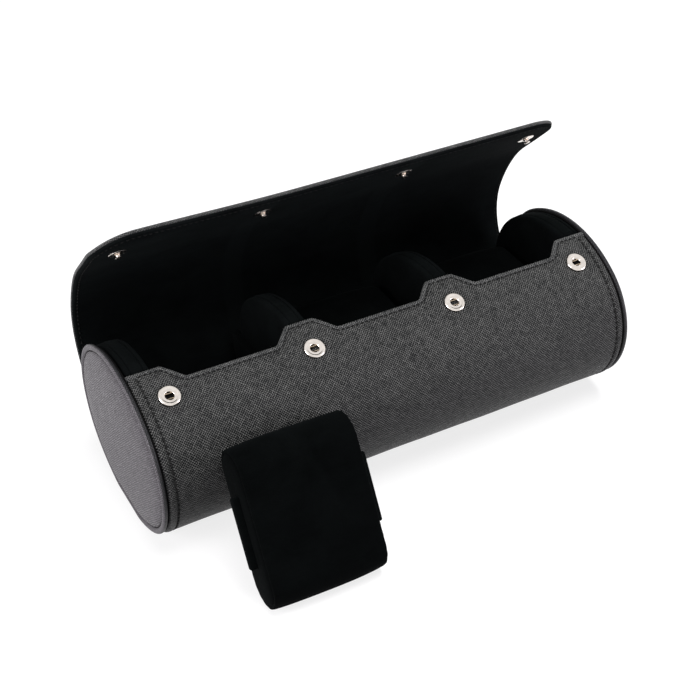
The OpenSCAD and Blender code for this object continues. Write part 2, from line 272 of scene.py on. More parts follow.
def slab(name, x, s, h_out, h_in, place, material):
    """A closed slab of skin between the heights h_out and h_in; x, s and h_out are grids."""
    m, n = x.shape
    top, low = place(x, s, h_out), place(x, s, h_in)
    uv = np.stack([x, s], -1)
    faces = quads(m, n, flip=True) + quads(m, n, m * n)
    rim = ([(i, 0) for i in range(m)] + [(m - 1, j) for j in range(1, n)]
           + [(i, n - 1) for i in range(m - 2, -1, -1)] + [(0, j) for j in range(n - 2, 0, -1)])
    idx = [i * n + j for i, j in rim]
    for a, b in zip(idx, idx[1:] + idx[:1]):
        faces.append((a, b, b + m * n, a + m * n))
    return make(name, np.concatenate([top.reshape(-1, 3), low.reshape(-1, 3)]), faces,
                np.concatenate([uv.reshape(-1, 2)] * 2), material)


def outline_normals(path):
    """Unit vectors to the left of path, a line of (x, s)."""
    t = unit(np.gradient(path, axis=0))
    return np.stack([-t[:, 1], t[:, 0]], -1)


def ribbon(name, path, profile, place, material):
    """A closed strip swept along path, a line of (x, s); profile is (distance to the left of it, height)."""
    n = outline_normals(path)
    profile = np.asarray(profile, float)
    xs = path[:, None, :] + n[:, None, :] * profile[None, :, :1]
    round_edge = profile[0, 0] - along(profile)
    uv = path[:, None, :] + n[:, None, :] * round_edge[None, :, None]
    p = place(xs[..., 0], xs[..., 1], profile[None, :, 1])
    m, k = p.shape[:2]
    faces = quads(m, k, wrap_n=True, flip=True) + lids(m, k)
    return make(name, p.reshape(-1, 3), faces, uv.reshape(-1, 2), material)


def rounded(points, radii, step=0.8):
    """A polyline through points with each inner corner rounded to its radius, resampled every step."""
    points = [np.asarray(p, float) for p in points]
    out = [points[0]]
    for k in range(1, len(points) - 1):
        p, a, b = points[k], points[k - 1] - points[k], points[k + 1] - points[k]
        la, lb = np.linalg.norm(a), np.linalg.norm(b)
        a, b = a / la, b / lb
        half = math.acos(np.clip(a @ b, -1, 1)) / 2
        cut = min(radii[k] / math.tan(half), la * 0.48, lb * 0.48)
        r = cut * math.tan(half)
        mid = (a + b) / np.linalg.norm(a + b)
        centre = p + mid * r / math.sin(half)
        p0, p1 = p + a * cut, p + b * cut
        v0, v1 = p0 - centre, p1 - centre
        total = math.acos(np.clip((v0 @ v1) / (r * r), -1, 1))
        for t in np.linspace(0, 1, 10):
            out.append(centre + (v0 * math.sin((1 - t) * total) + v1 * math.sin(t * total)) / math.sin(total))
    out.append(points[-1])
    return even(out, int(along(out)[-1] / step) + 1)


def stitches(name, path, inset, place, material, pitch=2.4, long=1.85, wide=0.62, lift=0.1, skip=0.0):
    """Threads of a lockstitch along path, inset to its left, each diving into the leather at its ends."""
    line = path + outline_normals(path) * inset
    s = along(line)
    length = s[-1] - 2 * skip
    count = int(length / pitch)
    rings, sides = 7, 6
    verts, uvs, faces = [], [], []
    for k in range(count):
        at = skip + (k + 0.5) * length / count
        slant = rng.normal(0, 0.05)
        size = 1 + rng.normal(0, 0.05)
        base = len(verts)
        for r in range(rings):
            t = r / (rings - 1) * 2 - 1
            q = at + t * long * size / 2
            c, ahead = (np.array([np.interp(v, s, line[:, j]) for j in (0, 1)]) for v in (q, q + 0.2))
            d = ahead - c
            if np.linalg.norm(d) < 1e-6:
                d = line[-1] - line[-2]
            d /= np.linalg.norm(d)
            side = np.array([-d[1], d[0]])
            c = c + side * slant * t * 1.6
            fat = wide / 2 * math.sqrt(max(1 - (abs(t) ** 3) * 0.75, 0.05))
            rise = lift - 0.55 * abs(t) ** 4
            for m in range(sides):
                g = 2 * math.pi * m / sides + t * 0.9
                place_2d = c + side * fat * math.cos(g)
                verts.append((place_2d[0], place_2d[1], rise + fat * 0.8 * math.sin(g)))
                uvs.append((k + t * 0.5, m / sides))
        faces += quads(rings, sides, base, wrap_n=True) + lids(rings, sides, base)
    v = np.array(verts)
    return make(name, place(v[:, 0], v[:, 1], v[:, 2]), faces, np.array(uvs) * 10, material)


def revolve(profile, sides=64):
    """Points and faces of a profile of (radius, height) turned about +Z."""
    r, h = np.asarray(profile, float).T[..., None]
    g = np.linspace(0, 2 * math.pi, sides, endpoint=False)
    p = np.stack([r * np.cos(g), r * np.sin(g), h + 0 * g], -1)
    return p.reshape(-1, 3), quads(len(profile), sides, wrap_n=True)


def at_snap(p, x):
    """Points given in a socket's own frame, moved to the socket at x."""
    return turn(p, (0, 0), SNAP_A) + [x, *oval(-SNAP_A)]


def at_stud(p, x):
    """Points of a stud, heights counted from the flap's outer face, put over the socket at x and opened."""
    p = at_snap(p + [0, 0, LID_OUT], x)
    for k in (2, 1, 0):
        p = turn(p, FOLDS[k], OPENED[k])
    return p


# ---------- materials ----------
class Nodes:
    """Short calls for one material's node tree."""

    def __init__(self, name):
        """A new material with its Principled shader."""
        self.mat = bpy.data.materials.new(name)
        self.mat.use_nodes = True
        self.tree = self.mat.node_tree
        self.shader = self.tree.nodes["Principled BSDF"]

    def add(self, kind, inputs=(), **props):
        """A new node with its properties and inputs set."""
        n = self.tree.nodes.new("ShaderNode" + kind)
        for k, v in props.items():
            setattr(n, k, v)
        for k, v in dict(inputs).items():
            self.put(n.inputs[k], v)
        return n

    def put(self, socket, value):
        """Link a socket or node to an input, or set the input to a constant."""
        if isinstance(value, bpy.types.NodeSocket):
            self.tree.links.new(value, socket)
        elif isinstance(value, bpy.types.Node):
            self.tree.links.new(value.outputs[0], socket)
        else:
            socket.default_value = value

    def math(self, op, a, b=0.0, c=0.0):
        """A math node; only MULTIPLY_ADD reads c."""
        n = self.add("Math", {0: a, 1: b}, operation=op)
        if op == "MULTIPLY_ADD":
            self.put(n.inputs[2], c)
        return n

    def vector(self, op, a, b):
        """A vector math node."""
        return self.add("VectorMath", {0: a, 1: b}, operation=op)

    def place(self):
        """The object's own coordinates, in millimetres."""
        return self.vector("MULTIPLY", self.add("TexCoord").outputs["Object"], (1000.0,) * 3)

    def noise(self, at, scale, detail, **more):
        """A noise texture."""
        return self.add("TexNoise", {"Vector": at, "Scale": scale, "Detail": detail, **more})

    def mix(self, factor, a, b):
        """Colour a at factor 0 and b at factor 1."""
        n = self.add("Mix", data_type="RGBA")
        self.put(n.inputs[0], factor)
        self.put(n.inputs[6], a)
        self.put(n.inputs[7], b)
        return n.outputs[2]

    def ramp(self, value, low, high, to_low=0.0, to_high=1.0):
        """value, from low to high, stretched to the range from to_low to to_high."""
        n = self.add("MapRange", {"Value": value, "From Min": low, "From Max": high,
                                  "To Min": to_low, "To Max": to_high})
        return n.outputs[0]

    def set(self, **values):
        """Set or link the shader's own inputs, by name."""
        for k, v in values.items():
            self.put(self.shader.inputs[k.replace("_", " ")], v)

    def bump(self, height, strength, distance):
        """A bump node; distance is in metres."""
        return self.add("Bump", {"Height": height, "Strength": strength, "Distance": distance})


def grey(v, tint=(1, 1, 1)):
    """The colour that is v bright, with a tint."""
    return (v * tint[0], v * tint[1], v * tint[2], 1.0)


def saffiano(name, base, tint, light, glint, pitch=0.92, relief=0.00010, gloss=0.16):
    """Pressed cross-hatch leather, its lines pitch mm apart on the flat sheet, its raised grain painted
    lighter as glints.
    """
    m = Nodes(name)
    where = m.add("UVMap", uv_map="flat")
    # the sheet's coordinates are 1 unit to 100 mm
    place = m.vector("MULTIPLY", where, (100.0,) * 3)
    warp = m.noise(place, 0.35, 3.0).outputs["Color"]
    off = m.vector("SUBTRACT", warp, (0.5,) * 3)
    off = m.vector("MULTIPLY", off, (1.1,) * 3)
    place = m.vector("ADD", place, off)
    xyz = m.add("SeparateXYZ", {0: place})
    lines = []
    for sign in (1, -1):
        run = m.math("MULTIPLY_ADD", xyz.outputs[1], float(sign), xyz.outputs[0])
        across = m.math("MULTIPLY_ADD", xyz.outputs[1], float(-sign), xyz.outputs[0])
        # each line breaks up along its length
        stretch = m.add("CombineXYZ", {0: m.math("MULTIPLY", run, 0.16),
                                       1: m.math("MULTIPLY", across, 1.1), 2: float(sign * 3)})
        broken = m.noise(stretch, 1.0, 2.0)
        wave = m.math("SINE", m.math("MULTIPLY", across, 2 * math.pi / (pitch * math.sqrt(2))))
        lifted = m.math("MULTIPLY_ADD", wave, 0.5, 0.5)
        lines.append(m.math("MULTIPLY", lifted, m.ramp(broken, 0.34, 0.62, 0.62, 1.0)))
    weave = m.math("MAXIMUM", lines[0], lines[1])
    both = m.math("MULTIPLY", lines[0], lines[1])
    pores = m.noise(place, 5.0, 2.0)
    height = m.math("MULTIPLY_ADD", both, 0.7, weave)
    height = m.math("MULTIPLY_ADD", pores, 0.2, height)
    cloud = m.noise(place, 0.045, 4.0)
    # the raised crossings are painted lighter, as glints of light; the ground between them stays nearly black
    painted_glints = m.math("MULTIPLY_ADD", both, 0.55, m.math("MULTIPLY", weave, 0.75))
    tone = m.ramp(m.math("MULTIPLY_ADD", cloud, 0.1, painted_glints), 0.5, 1.25)
    color = m.mix(tone, grey(base, tint), grey(light, glint))
    m.set(Base_Color=color, Specular_IOR_Level=gloss,
          Roughness=m.ramp(weave, 0.2, 1.0, 0.62, 0.36),
          Normal=m.bump(height, 1.0, relief))
    return m.mat


def suede(name, base, tint, light, marks=False):
    """Brushed microfibre: nearly black, with a soft sheen and cloudy nap."""
    m = Nodes(name)
    place = m.place()
    cloud = m.noise(place, 0.06, 5.0, Roughness=0.6, Distortion=0.6)
    streak_at = m.vector("MULTIPLY", place, (0.05, 0.3, 0.3))
    streak = m.noise(streak_at, 1.0, 3.0)
    fibre = m.noise(place, 2.2, 5.0, Roughness=0.75)
    tone = m.math("MULTIPLY_ADD", streak, 0.3, cloud)
    tone = m.ramp(tone, 0.42, 0.95)
    tone = m.math("MULTIPLY_ADD", m.ramp(fibre, 0.35, 0.75), 0.45, tone)
    if marks:
        # the dividers press a lighter strip into the flap's nap
        x = m.add("SeparateXYZ", {0: place})
        near = m.math("ABSOLUTE", m.math("SUBTRACT", m.math("ABSOLUTE", x), DIVIDER_X))
        strip = m.ramp(near, 5.8, 4.4)
        tone = m.math("MULTIPLY_ADD", strip, 0.55, tone)
    color = m.mix(tone, grey(base, tint), grey(light, tint))
    m.set(Base_Color=color, Roughness=0.95, Specular_IOR_Level=0.02,
          Sheen_Weight=0.006, Sheen_Roughness=0.45, Sheen_Tint=grey(0.55, tint),
          Normal=m.bump(fibre, 0.6, 0.00012))
    return m.mat


def metal(name, color, rough):
    """Polished metal with fine scratches and slightly darker worn places."""
    m = Nodes(name)
    place = m.place()
    fine = m.noise(place, 2.5, 4.0)
    wear = m.noise(place, 0.6, 3.0)
    worn = tuple(c * 0.82 for c in color)
    m.set(Base_Color=m.mix(m.ramp(wear, 0.3, 0.75), (*color, 1.0), (*worn, 1.0)),
          Metallic=1.0, Roughness=m.ramp(fine, 0.3, 0.7, rough, rough + 0.12),
          Normal=m.bump(fine, 0.35, 0.00002))
    return m.mat


def thread_material(name, base, light):
    """Twisted thread: its plies wind round it."""
    m = Nodes(name)
    uv = m.add("UVMap", uv_map="flat")
    place = m.vector("MULTIPLY", uv, (10.0,) * 3)
    xyz = m.add("SeparateXYZ", {0: place})
    around = m.math("MULTIPLY", xyz.outputs[1], 6.283)
    ply = m.math("SINE", m.math("MULTIPLY_ADD", xyz.outputs[0], 34.0, around))
    m.set(Base_Color=m.mix(m.ramp(ply, -1.0, 1.0), grey(base), grey(light)), Roughness=0.7,
          Specular_IOR_Level=0.1, Sheen_Weight=0.02, Normal=m.bump(ply, 0.7, 0.00008))
    return m.mat


COOL, WARM, LILAC = (0.88, 0.99, 1.12), (1.0, 1.0, 0.97), (1.04, 0.96, 1.06)
# each leather below mixes a nearly black ground with a light tone painted as glints on its raised grain; WARM
# and LILAC tint those glints
LEATHER = saffiano("saffiano_leather", 0.0028, COOL, 0.125, WARM, relief=0.00022, gloss=0.13)
# the turned hems: a lighter copy of the leather, painted brighter for the glints along the edges
HEM_PAINTED_GLINTS = saffiano("turned_leather_painted_glints", 0.006, COOL, 0.15, WARM, pitch=0.85, relief=0.00014)
# the caps' leather: a lighter copy of the leather, painted as lit
CAP_LEATHER_PAINTED_LIT = saffiano("cap_leather_painted_lit", 0.03, LILAC, 0.14, LILAC, relief=0.00007, gloss=0.2)
# the rims' leather: a darker copy of the leather, painted as shade on the rims' sides
RIM_LEATHER_PAINTED_SHADE = saffiano("rim_leather_painted_shade", 0.005, COOL, 0.03, LILAC, relief=0.00005, gloss=0.3)
SOOT = (0.82, 1.02, 1.05)
LINING = suede("lining_suede", 0.0016, SOOT, 0.0044)
LID_LINING = suede("lid_suede", 0.0019, SOOT, 0.0055, marks=True)
SUEDE = suede("fitting_suede", 0.0010, SOOT, 0.0028)
CUSHION = suede("cushion_suede", 0.0008, SOOT, 0.0019)
BOARD = suede("board_suede", 0.001, SOOT, 0.003)
NICKEL = metal("nickel", (0.86, 0.80, 0.745), 0.16)
SPRING = metal("spring_wire", (0.52, 0.43, 0.32), 0.28)
SHADOW = suede("groove", 0.002, (1, 1, 1), 0.005)
THREAD = thread_material("thread", 0.003, 0.012)
LINING_THREAD = thread_material("lining_thread", 0.002, 0.005)


# ---------- the tube ----------
def front_path():
    """The front edge with its four tabs, as a line of (x, s) with rounded corners."""
    foot_x = END_TAB_X - TAB_FOOT + TAB_TOP
    pts = [(-TUBE_X, TAB_Y), (-END_TAB_X, TAB_Y), (-foot_x, EDGE_Y)]
    for c in SNAP_X[1:3]:
        pts += [(c - TAB_FOOT, EDGE_Y), (c - TAB_TOP, TAB_Y)]
        pts += [(c + TAB_TOP, TAB_Y), (c + TAB_FOOT, EDGE_Y)]
    pts += [(foot_x, EDGE_Y), (END_TAB_X, TAB_Y), (TUBE_X, TAB_Y)]
    pts = [(x, float(s_at(y))) for x, y in pts]
    # on the tube, s grows away from the front edge, so the case lies to the left of a path run toward +X
    return rounded(pts, [0] + [3.0] * (len(pts) - 2) + [0], 0.7)


FRONT = front_path()


def front_cut(x, inset):
    """Place s of the front edge, moved inward by inset."""
    p = FRONT + outline_normals(FRONT) * inset
    order = np.argsort(p[:, 0])
    return np.interp(x, p[order, 0], p[order, 1])


def columns(step, fine_step, fine):
    """x positions over the tube, closer together near each place in fine."""
    out = [-TUBE_X]
    while out[-1] < TUBE_X:
        x = out[-1]
        near = min([abs(x - c) - r for c, r in fine] + [1e9])
        out.append(x + (fine_step if near < 0 else min(step, fine_step + near * 0.35)))
    out = np.array(out)
    return (out - out[0]) / (out[-1] - out[0]) * 2 * TUBE_X - TUBE_X


def end_round(x):
    """Height of the leather near its two ends: rounded off, with a groove for the stitches."""
    d = TUBE_X - np.abs(x)
    edge = -1.5 * np.clip(1 - d / 1.5, 0, 1) ** 2.2
    seam = -0.45 * np.exp(-(((d - END_SEAM) / 0.6) ** 2))
    strip = 0.14 * ease((d - 1.2) / 1.0) * ease((3.7 - d) / 0.8)
    return edge + seam + strip


def tube_grid(x, share_of_way, inset):
    """Places x and s from the front edge, moved inward by inset, to the flap's root, and how far from it."""
    start = front_cut(x, inset)[:, None]
    s = start + (SEAMS[0] - start) * share_of_way
    return np.repeat(x[:, None], len(share_of_way), 1), s, s - start


def soft_waves(x, s):
    """Height of the slow waves in the leather."""
    return 0.09 * np.sin(x * 0.071 + 1.3) * np.sin(s * 0.083 + 0.4) + 0.05 * np.sin(x * 0.19 - s * 0.11)


def socket_dip(x, s):
    """Height of the leather under the sockets, which are pressed into it."""
    at = _arc[nearest(oval(-SNAP_A), 0, 900)]
    dip = np.zeros_like(x)
    for c in SNAP_X:
        r = np.hypot(x - c, s - at)
        pressed = -0.12 * np.exp(-(((r - 5.2) / 1.4) ** 2))
        dip = np.minimum(dip, -1.7 * ease((5.35 - r) / 1.0) + pressed)
    return dip


# columns of the leather near its ends, as distances from them
END_COLUMNS = [0.0, 0.25, 0.55, 0.9, 1.3, 1.8, 2.6, 3.3, 3.7, 4.1, 4.5, 5.0]


def with_ends(x):
    """Columns x with its own last 6 mm at each end replaced by END_COLUMNS."""
    x = x[np.abs(x) < TUBE_X - 6]
    e = TUBE_X - np.array(END_COLUMNS)
    return np.concatenate([-e, x, e[::-1]])


def body_leather():
    """The tube's leather with its turned front edge and its stitches."""
    x = with_ends(columns(3.0, 0.85, [(c, 15.5) for c in SNAP_X]))
    q = np.concatenate([np.arange(0, 26, 0.85), np.linspace(26, 200, 60)])
    xx, s, d = tube_grid(x, q / q[-1], 2.35)
    near = -0.6 * np.clip(1 - d / 1.1, 0, 1) ** 1.3
    waves = soft_waves(xx, s) * ease(d / 6) * ease((SEAMS[0] - s) / 8)
    h = end_round(xx) + near + waves + socket_dip(xx, s)
    body = slab("tube_leather", xx, s, h, -1.9, skin, LEATHER)
    hem_profile = [(2.75, -0.7), (2.5, -0.55), (2.25, -0.22), (1.95, 0.1), (1.5, 0.22), (1.1, 0.22),
                   (0.7, 0.12), (0.35, -0.08), (0.12, -0.38), (0.02, -0.8), (0.02, -1.5), (0.12, -1.92),
                   (0.35, -2.2), (0.75, -2.35), (1.4, -2.4), (2.1, -2.4), (2.6, -2.2), (2.75, -1.4)]
    # the hem is painted lighter, for glints on the turned edge
    hem = ribbon("front_hem", FRONT, hem_profile, skin, HEM_PAINTED_GLINTS)
    thread = stitches("front_stitches", FRONT, 2.4, skin, THREAD, pitch=2.45, wide=0.7, lift=-0.12,
                      skip=4.6)
    ends = []
    for side in (-1, 1):
        x0 = side * (TUBE_X - END_SEAM)
        line = np.stack([np.full(400, x0), np.linspace(float(front_cut(x0, 2.6)), SEAMS[0], 400)], -1)
        tag = "left" if side < 0 else "right"
        ends.append(stitches("end_stitches_" + tag, line, 0, skin, THREAD, pitch=2.9, long=2.2, wide=0.9,
                             lift=-0.12, skip=0.6))
    for o in [body, hem, thread] + ends:
        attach(o, "case")
    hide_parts("body_wrap")


def lining_in(s):
    """How deep the lining's inner face lies: deeper in the tube's wall than in the flap."""
    return -LINING_T + (LINING_T - LID_T) * ease((s + 8) / 14)


def tube_lining():
    """The suede inside the tube's wall."""
    x = np.linspace(-BAY_END - 0.6, BAY_END + 0.6, 150)
    q = np.concatenate([[0, 0.0015, 0.004, 0.008], np.linspace(0.014, 1, 70)])
    xx, s, d = tube_grid(x, q, 1.2)
    round_off = 0.55 * np.clip(1 - d / 0.8, 0, 1) ** 2
    ob = slab("tube_lining", xx, s, -2.42, -LINING_T + round_off, skin, LINING)
    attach(ob, "case")
    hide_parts("body_lining")


# ---------- the flap ----------
def flap_grid(part, inset):
    """Places x and s over one of the flap's pieces, inset from its border, and how far in each one is."""
    corner = LID_CORNER - inset
    if part < 2:
        s = np.linspace(SEAMS[part], SEAMS[part + 1], 34)
    else:
        straight = np.linspace(SEAMS[2] - S_END + LID_CORNER, 0, 24)
        curved = corner * np.sin(np.linspace(0, math.pi / 2, 16)[1:])
        s = S_END - LID_CORNER + np.concatenate([straight, curved])
    past = np.clip(s - S_END + LID_CORNER, 0, corner)
    half = TUBE_X - LID_CORNER + np.sqrt(corner**2 - past**2)
    wide = np.concatenate([[-1.0, -0.9985, -0.996, -0.992, -0.985], np.linspace(-0.975, 0.975, 76),
                           [0.985, 0.992, 0.996, 0.9985, 1.0]])
    x = wide[:, None] * half[None, :]
    s = np.repeat(s[None, :], len(wide), 0)
    out_x, out_s = np.abs(x) - TUBE_X + LID_CORNER, s - S_END + LID_CORNER
    border = np.where((out_x > 0) & (out_s > 0), LID_CORNER - np.hypot(out_x, out_s),
                      LID_CORNER - np.maximum(out_x, out_s))
    return x, s, border


def flap_paths(part):
    """The flap's border: two sides on its lower pieces, and one line round the front of its last."""
    if part < 2:
        line = np.stack([np.full(90, TUBE_X), np.linspace(SEAMS[part], SEAMS[part + 1], 90)], -1)
        return [line, line[::-1] * [-1, 1]]
    g = np.linspace(0, math.pi / 2, 26)
    right = np.stack([TUBE_X - LID_CORNER + LID_CORNER * np.cos(g),
                      S_END - LID_CORNER + LID_CORNER * np.sin(g)], -1)
    left = right[::-1] * np.array([-1, 1])
    pts = np.concatenate([[(TUBE_X, SEAMS[2])], right, left, [(-TUBE_X, SEAMS[2])]])
    return [even(pts, int(along(pts)[-1] / 0.9))]


LID_HEM = [(2.9, -0.3), (2.5, -0.16), (2.2, 0.0), (1.85, 0.14), (1.4, 0.18), (0.95, 0.14), (0.5, 0.0),
           (0.18, -0.27), (0.03, -0.62), (0.0, -0.95), (0.06, -1.25), (0.22, -1.46), (0.6, -1.56),
           (1.6, -1.4)]


def flap():
    """The flap's leather, lining, hem and stitches, in three pieces, each reaching across one fold of the
    opened flap.
    """
    pieces = (("back", "case", "back_panel"), ("mid", "back_panel", "mid_panel"),
              ("front", "mid_panel", "front_panel"))
    for part, (tag, low_body, high_body) in enumerate(pieces):
        x, s, border = flap_grid(part, 1.0)
        h = soft_waves(x, s) * ease(border / 12) * ease((s - SEAMS[0]) / 8)
        leather = slab("flap_leather_" + tag, x, s, h, -1.4, open_skin, LEATHER)
        x, s, border = flap_grid(part, 0.45)
        # the lining swells a little, dips at its seam and rounds off at its edge
        puff = 0.16 * ease((border - 2.5) / 5)
        puff = puff + 0.05 * np.sin(x * 0.09) * np.sin(s * 0.12 + 1) * ease(border / 15)
        seam = 0.16 * np.exp(-(((border - 2.5) / 0.4) ** 2))
        edge = 0.8 * np.clip(1 - (border - 0.45) / 0.9, 0, 1) ** 2
        lining = slab("flap_lining_" + tag, x, s, -1.5, lining_in(s) - puff + seam + edge, open_skin,
                      LID_LINING)
        trim = []
        for k, line in enumerate(flap_paths(part)):
            # the hem here is painted lighter, for glints on the flap's turned edge
            trim.append(ribbon(f"flap_hem_{tag}_{k}", line, LID_HEM, open_skin, HEM_PAINTED_GLINTS))
            trim.append(stitches(f"flap_stitches_{tag}_{k}", line, 2.55, open_skin, THREAD, pitch=2.6,
                                 lift=0.0))
            trim.append(stitches(f"lining_stitches_{tag}_{k}", line, 2.5, inner_skin, LINING_THREAD,
                                 pitch=2.6))
        start, end = BEND_ENDS[part]
        for o in [leather, lining] + trim:
            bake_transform(o)
        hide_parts(f"flap_{tag}")
        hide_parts(f"flap_{tag}_lining")


def inner_skin(x, s, h):
    """Points h inside the open flap's inner face."""
    return open_skin(x, s, lining_in(s) - h)


# ---------- snaps ----------
def join_points(parts):
    """Several (points, faces) as one."""
    verts, faces, start = [], [], 0
    for v, f in parts:
        verts.append(v)
        faces += [tuple(i + start for i in g) for g in f]
        start += len(v)
    return np.concatenate(verts), faces


def snap_pieces():
    """Sockets with their wells and spring wires, and the flap's studs with their backs."""
    socket = [(2.0, -1.6), (2.0, -0.5), (2.06, 0.0), (2.2, 0.2), (2.5, 0.29), (2.85, 0.25), (3.15, 0.17),
              (3.45, 0.24), (3.75, 0.42), (4.1, 0.53), (4.45, 0.5), (4.75, 0.36), (4.93, 0.12), (4.97, -0.15),
              (4.9, -0.6), (4.6, -0.8)]
    wells = [(0.0, -1.62), (2.05, -1.62)]
    parts, cups, wires = [], [], []
    for x in SNAP_X:
        p, f = revolve(socket)
        parts.append((at_snap(p, x), f))
        p, f = revolve(wells)
        cups.append((at_snap(p, x), f))
        for side in (-1, 1):
            t = np.linspace(-1, 1, 18)
            line = np.stack([t * 1.75, side * (1.22 + 0.1 * t * t), -0.4 + 0 * t], -1)
            v, g = tube_points(line, 0.24)
            wires.append((at_snap(v, x), g))
    for name, chunk, material, node in (("socket_rims", parts, NICKEL, "snap_sockets"),
                                        ("socket_springs", wires, SPRING, "snap_springs"),
                                        ("socket_wells", cups, SHADOW, None)):
        v, f = join_points(chunk)
        o = make(name, v, f, material=material)
        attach(o, "case")
        if node:
            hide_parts(node)
            "spring" if "spring" in name else "nickel"
    # the wires meet the stud at its neck, between the ball and the boss
    stud = [(0.0, -2.62), (0.75, -2.57), (1.3, -2.38), (1.62, -2.12), (1.6, -1.94), (1.3, -1.8),
            (0.95, -1.72), (0.9, -1.47), (0.95, -1.22), (1.4, -1.08), (1.85, -0.85), (2.3, -0.64),
            (3.3, -0.56), (3.9, -0.45), (4.15, -0.2), (4.15, 0.05), (3.6, 0.1)]
    cap = [(0.0, -0.97), (3.6, -0.97), (4.0, -1.1), (4.0, -1.65), (1.0, -1.8), (1.0, -2.7)]
    studs, caps = [], []
    for x in SNAP_X:
        p, f = revolve(stud)
        p[:, 2] -= LID_T + 0.1
        studs.append((at_stud(p, x), f))
        p, f = revolve(cap[::-1], 32)
        caps.append((at_stud(p, x), f))
    for name, chunk, node in (("stud_balls", studs, "snap_studs"), ("stud_backs", caps, "snap_caps")):
        v, f = join_points(chunk)
        o = make(name, v, f, material=NICKEL)
        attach(o, "front_panel")
        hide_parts(node)


def tube_points(line, radius):
    """Points and faces of a round wire along line, with closed ends."""
    sides = 8
    line = np.asarray(line, float)
    t = unit(np.gradient(line, axis=0))
    a = unit(np.cross(t, [0, 0, 1.0]))
    b = np.cross(a, t)
    g = np.linspace(0, 2 * math.pi, sides, endpoint=False)
    ring = a[:, None] * np.cos(g)[None, :, None] + b[:, None] * np.sin(g)[None, :, None]
    p = line[:, None] + radius * ring
    n = len(line)
    return p.reshape(-1, 3), quads(n, sides, wrap_n=True) + [f[::-1] for f in lids(n, sides)]


# ---------- ends ----------
def section(off, count=180):
    """The tube's outline grown by off, as even points (y, z)."""
    p = oval(np.linspace(-180, 180, 721), off)
    p[:, 1] = np.maximum(p[:, 1], -off)
    return even(p, count + 1)[:-1]


def end_piece(side):
    """The groove, rolled rim, padded face and stitched seam of one end cap."""
    tag = "left" if side < 0 else "right"
    m = 200

    def lathe(profile, name, material, face_from=None):
        """A profile of (x, growth) swept round the outline; the rows from the cap's face on take the cap's
        leather, painted lighter as lit.
        """
        rows = []
        for x, off in profile:
            rows.append(at_x(side * x, section(off, m)))
        v = np.array(rows)
        arc = np.linspace(0, 265, m)
        uv = np.stack(np.broadcast_arrays(arc[None, :], along(profile)[:, None]), -1)
        o = make(name, v.reshape(-1, 3), quads(len(rows), m, wrap_n=True, flip=side < 0),
                 uv.reshape(-1, 2), material)
        if face_from is not None:
            o.data.materials.append(CAP_LEATHER_PAINTED_LIT)
            index = [int(k // m >= face_from) for k in range(len(rows) * m - m)]
            o.data.polygons.foreach_set("material_index", index)
        return o

    ring = lathe([(119.2, -3), (119.6, -1.15), (120.1, -0.95), (120.6, -1.1), (120.9, -3)],
                 "end_groove_" + tag, SHADOW)
    # the rim's outward rows are painted lighter as lit, its sides toward the tube darker as shade
    rim = lathe([(120.35, -3.0), (120.38, -1.3), (120.5, -0.7), (120.75, -0.38), (121.15, -0.26),
                 (121.6, -0.28), (122.0, -0.42), (122.35, -0.72), (122.55, -1.15), (122.62, -1.7),
                 (122.5, -2.3), (122.2, -2.8), (121.7, -3.15), (121.2, -PAD_INSET)],
                "cap_rim_" + tag, RIM_LEATHER_PAINTED_SHADE, face_from=6)
    outline = section(-PAD_INSET, m)
    centre = np.array([0, MID_Z])
    # the pad's rings, as shares of its outline, and how far each stands out
    radii = [1.0, 0.997, 0.99, 0.98, 0.965, 0.945, 0.92, 0.88, 0.83, 0.76, 0.68, 0.58, 0.47, 0.36, 0.25,
             0.14, 0.05]
    swell = [0.0, 0.28, 0.62, 0.95, 1.25, 1.5, 1.72, 1.98, 2.22, 2.48, 2.7, 2.9, 3.05, 3.17, 3.25, 3.3, 3.32]
    ang = np.linspace(0, 2 * math.pi, m, endpoint=False)
    rows = []
    for r, x in zip(radii, swell):
        p = centre + (outline - centre) * r
        pull = 0.07 * np.sin(ang * 37 + side) * np.exp(-((1 - r) / 0.05))
        pull = pull + 0.05 * np.sin(ang * 23 + 2) * np.exp(-((1 - r) / 0.09))
        wave = 0.06 * np.sin(p[:, 0] * 0.11 + side) * np.sin(p[:, 1] * 0.09)
        rows.append(at_x(side * (PAD_X + x + pull * (r < 1) + wave), p))
    faces = quads(len(rows), m, wrap_n=True, flip=side < 0)
    v = np.concatenate(rows + [[[side * (PAD_X + 3.33), 0, MID_Z]]])
    last = (len(rows) - 1) * m
    for k in range(m):
        f = (last + k, last + (k + 1) % m, len(v) - 1)
        faces.append(f[::-1] if side < 0 else f)
    # the pad is painted lighter, as lit
    pad = make("cap_pad_" + tag, v, faces, v[:, 1:], CAP_LEATHER_PAINTED_LIT)
    seam = section(-CAP_SEAM, 420)

    def on_cap(y, z, h):
        """Points h above the seam between rim and pad."""
        return np.stack([side * (PAD_X + 0.27 + h), y, z], -1)

    thread = stitches("cap_stitches_" + tag, np.concatenate([seam, seam[:1]]), 0, on_cap, THREAD, pitch=2.6,
                      long=2.1, wide=0.8)
    for o in (ring, rim, pad, thread):
        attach(o, "case")
    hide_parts("cap_ring_" + tag)
    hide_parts("cap_" + tag)
    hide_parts("cap_" + tag)


